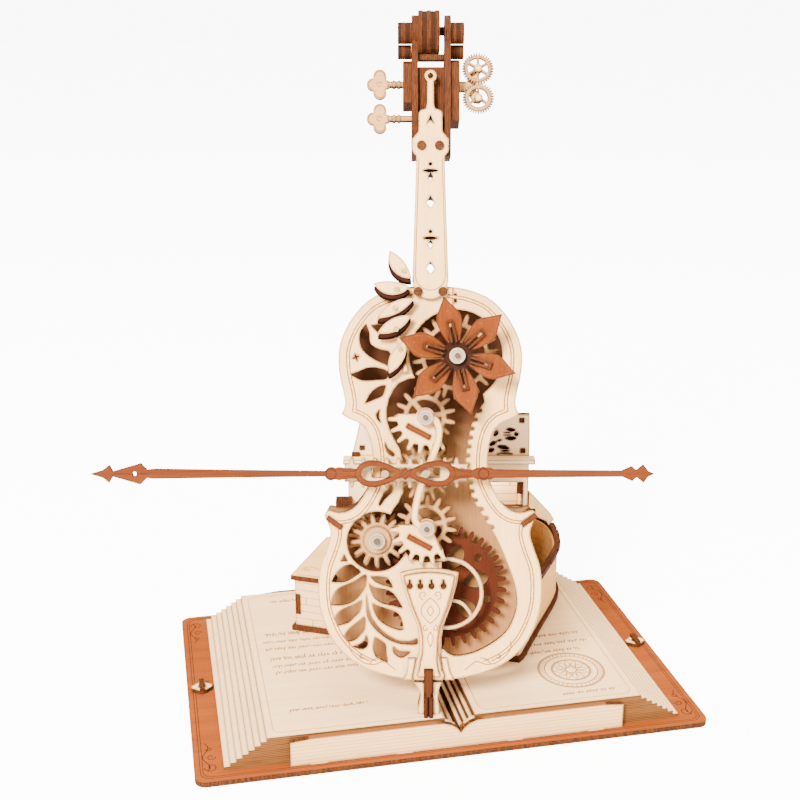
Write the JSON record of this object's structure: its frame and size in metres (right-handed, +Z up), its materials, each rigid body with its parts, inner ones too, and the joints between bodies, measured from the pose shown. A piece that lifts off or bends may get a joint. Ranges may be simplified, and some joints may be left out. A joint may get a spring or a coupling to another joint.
{
  "type": "wooden 3d jigsaw model",
  "caption": "Laser-cut plywood cello with an open gear train, sliding bow and turning flower, leaning over an open book with a music case behind.",
  "frame": {"origin": "centre of the underside of the cover board", "axes": "+X to the right seen from the front, +Y to the back, +Z up"},
  "size_m": [0.2136, 0.1207, 0.2475],
  "materials": {
    "wood_light": "bare plywood, laser cut",
    "wood_brown": "stained plywood, laser cut",
    "wood_dark": "dark stained plywood, laser cut",
    "wood_red": "red-brown stained plywood, laser cut",
    "steel": "ground steel shaft",
    "plastic": "white moulded bush",
    "brass": "brass"
  },
  "bodies": {
    "frame": {"book_cover": "wood_brown", "pages": "wood_light", "gutter_strips": "wood_light", "end_walls": "wood_light", "clasp_pins": "wood_dark", "case_floor": "wood_brown", "case_walls": "wood_light", "case_top": "wood_light", "case_rim": "wood_brown", "side_brace": "wood_light", "tower_front": "wood_light", "tower_shell": "wood_light", "tower_shelves": "wood_brown", "joint_tabs": "wood_brown", "stays": "wood_brown", "movement_bed": "brass", "comb": "steel", "drive_block": "wood_light", "front_left": "wood_light", "front_right": "wood_light", "back_plate": "wood_light", "pillars": "wood_brown", "tailpiece": "wood_light", "end_pin": "wood_light", "neck_board": "wood_light", "neck_core": "wood_brown", "plugs": "wood_dark", "pegbox": "wood_brown", "scroll": "wood_dark", "wheel_arm": "wood_light", "leaves": "wood_light", "leaf_pins": "brass", "s_bracket": "wood_light", "guide_pins": "steel", "spiral_ring": "wood_light"},
    "drive": {"drive_gear": "wood_red", "drive_arbor": "steel"},
    "left": {"left_wheels": "wood_light", "left_arbor": "plastic"},
    "lower": {"lower_wheel": "wood_light", "lower_sector": "wood_light", "lower_arbor": "plastic"},
    "idle": {"idler": "wood_light"},
    "upper": {"upper_wheel": "wood_light", "upper_sector": "wood_light", "upper_arbor": "plastic"},
    "bloom": {"flower_wheel": "wood_light", "flower": "wood_brown", "flower_arbor": "plastic"},
    "bow": {"bow": "wood_brown", "bow_rack": "wood_light"},
    "cylinder": {"pin_cylinder": "brass"},
    "fan": {"governor": "brass"},
    "key": {"wind_key": "brass"},
    "peg_a": {"peg_upper": "wood_light"},
    "peg_b": {"peg_lower": "wood_light"},
    "wheel_a": {"peg_wheel_upper": "wood_light"},
    "wheel_b": {"peg_wheel_lower": "wood_light"},
    "rosette_l": {"clasp_left": "wood_light"},
    "rosette_r": {"clasp_right": "wood_light"}
  },
  "joints": [
    {"name": "drive_spin", "type": "hinge", "parent": "frame", "child": "drive", "pos_m": [-0.00099, -0.03725, 0.05334], "axis": [-0.1923, -0.9368, 0.2924], "continuous": true},
    {"name": "left_spin", "type": "hinge", "parent": "frame", "child": "left", "pos_m": [-0.02419, -0.02725, 0.0701], "axis": [-0.1923, -0.9368, 0.2924], "continuous": true},
    {"name": "lower_spin", "type": "hinge", "parent": "frame", "child": "lower", "pos_m": [-0.00694, -0.02926, 0.07503], "axis": [-0.1923, -0.9368, 0.2924], "continuous": true},
    {"name": "idle_spin", "type": "hinge", "parent": "frame", "child": "idle", "pos_m": [-0.0062, -0.02364, 0.09353], "axis": [-0.1923, -0.9368, 0.2924], "continuous": true},
    {"name": "upper_spin", "type": "hinge", "parent": "frame", "child": "upper", "pos_m": [-0.00506, -0.0181, 0.11203], "axis": [-0.1923, -0.9368, 0.2924], "continuous": true},
    {"name": "flower_spin", "type": "hinge", "parent": "frame", "child": "bloom", "pos_m": [0.00675, -0.01416, 0.13239], "axis": [-0.1923, -0.9368, 0.2924], "continuous": true},
    {"name": "bow_slide", "type": "slide", "parent": "frame", "child": "bow", "axis": [0.9796, -0.2011, 0], "range_m": [-0.0022, 0.0022]},
    {"name": "cylinder_spin", "type": "hinge", "parent": "frame", "child": "cylinder", "pos_m": [0, 0.038, 0.02372], "axis": [1, 0, 0], "continuous": true},
    {"name": "fan_spin", "type": "hinge", "parent": "frame", "child": "fan", "pos_m": [-0.0226, 0.0405, 0.02422], "axis": [1, 0, 0], "continuous": true},
    {"name": "key_turn", "type": "hinge", "parent": "frame", "child": "key", "pos_m": [-0.014, 0.05, 0.02372], "axis": [0, 1, 0], "continuous": true},
    {"name": "peg_upper_turn", "type": "hinge", "parent": "frame", "child": "peg_a", "pos_m": [-0.00329, 0.02133, 0.22241], "axis": [0.9796, -0.2011, 0], "continuous": true},
    {"name": "peg_lower_turn", "type": "hinge", "parent": "frame", "child": "peg_b", "pos_m": [-0.004, 0.01789, 0.21093], "axis": [0.9796, -0.2011, 0], "continuous": true},
    {"name": "peg_wheel_spin", "type": "hinge", "parent": "frame", "child": "wheel_a", "pos_m": [0.02194, 0.01995, 0.22775], "axis": [-0.1923, -0.9368, 0.2924], "continuous": true},
    {"name": "peg_wheel_mate_spin", "type": "hinge", "parent": "frame", "child": "wheel_b", "pos_m": [0.02148, 0.01696, 0.21786], "axis": [-0.1923, -0.9368, 0.2924], "continuous": true},
    {"name": "rosette_left_turn", "type": "hinge", "parent": "frame", "child": "rosette_l", "pos_m": [-0.087, 0, 0.003], "axis": [0, 0, 1], "continuous": true},
    {"name": "rosette_right_turn", "type": "hinge", "parent": "frame", "child": "rosette_r", "pos_m": [0.087, 0, 0.003], "axis": [0, 0, 1], "continuous": true}
  ],
  "couplings": [
    {"joint": "left_spin", "follows": "drive_spin", "ratio": -2.1333},
    {"joint": "lower_spin", "follows": "drive_spin", "ratio": 1.8489},
    {"joint": "idle_spin", "follows": "drive_spin", "ratio": -1.8489},
    {"joint": "upper_spin", "follows": "drive_spin", "ratio": 1.8489},
    {"joint": "flower_spin", "follows": "drive_spin", "ratio": -1.2606},
    {"joint": "cylinder_spin", "follows": "drive_spin", "ratio": 1},
    {"joint": "fan_spin", "follows": "drive_spin", "ratio": 8},
    {"joint": "peg_wheel_mate_spin", "follows": "peg_wheel_spin", "ratio": -1}
  ]
}
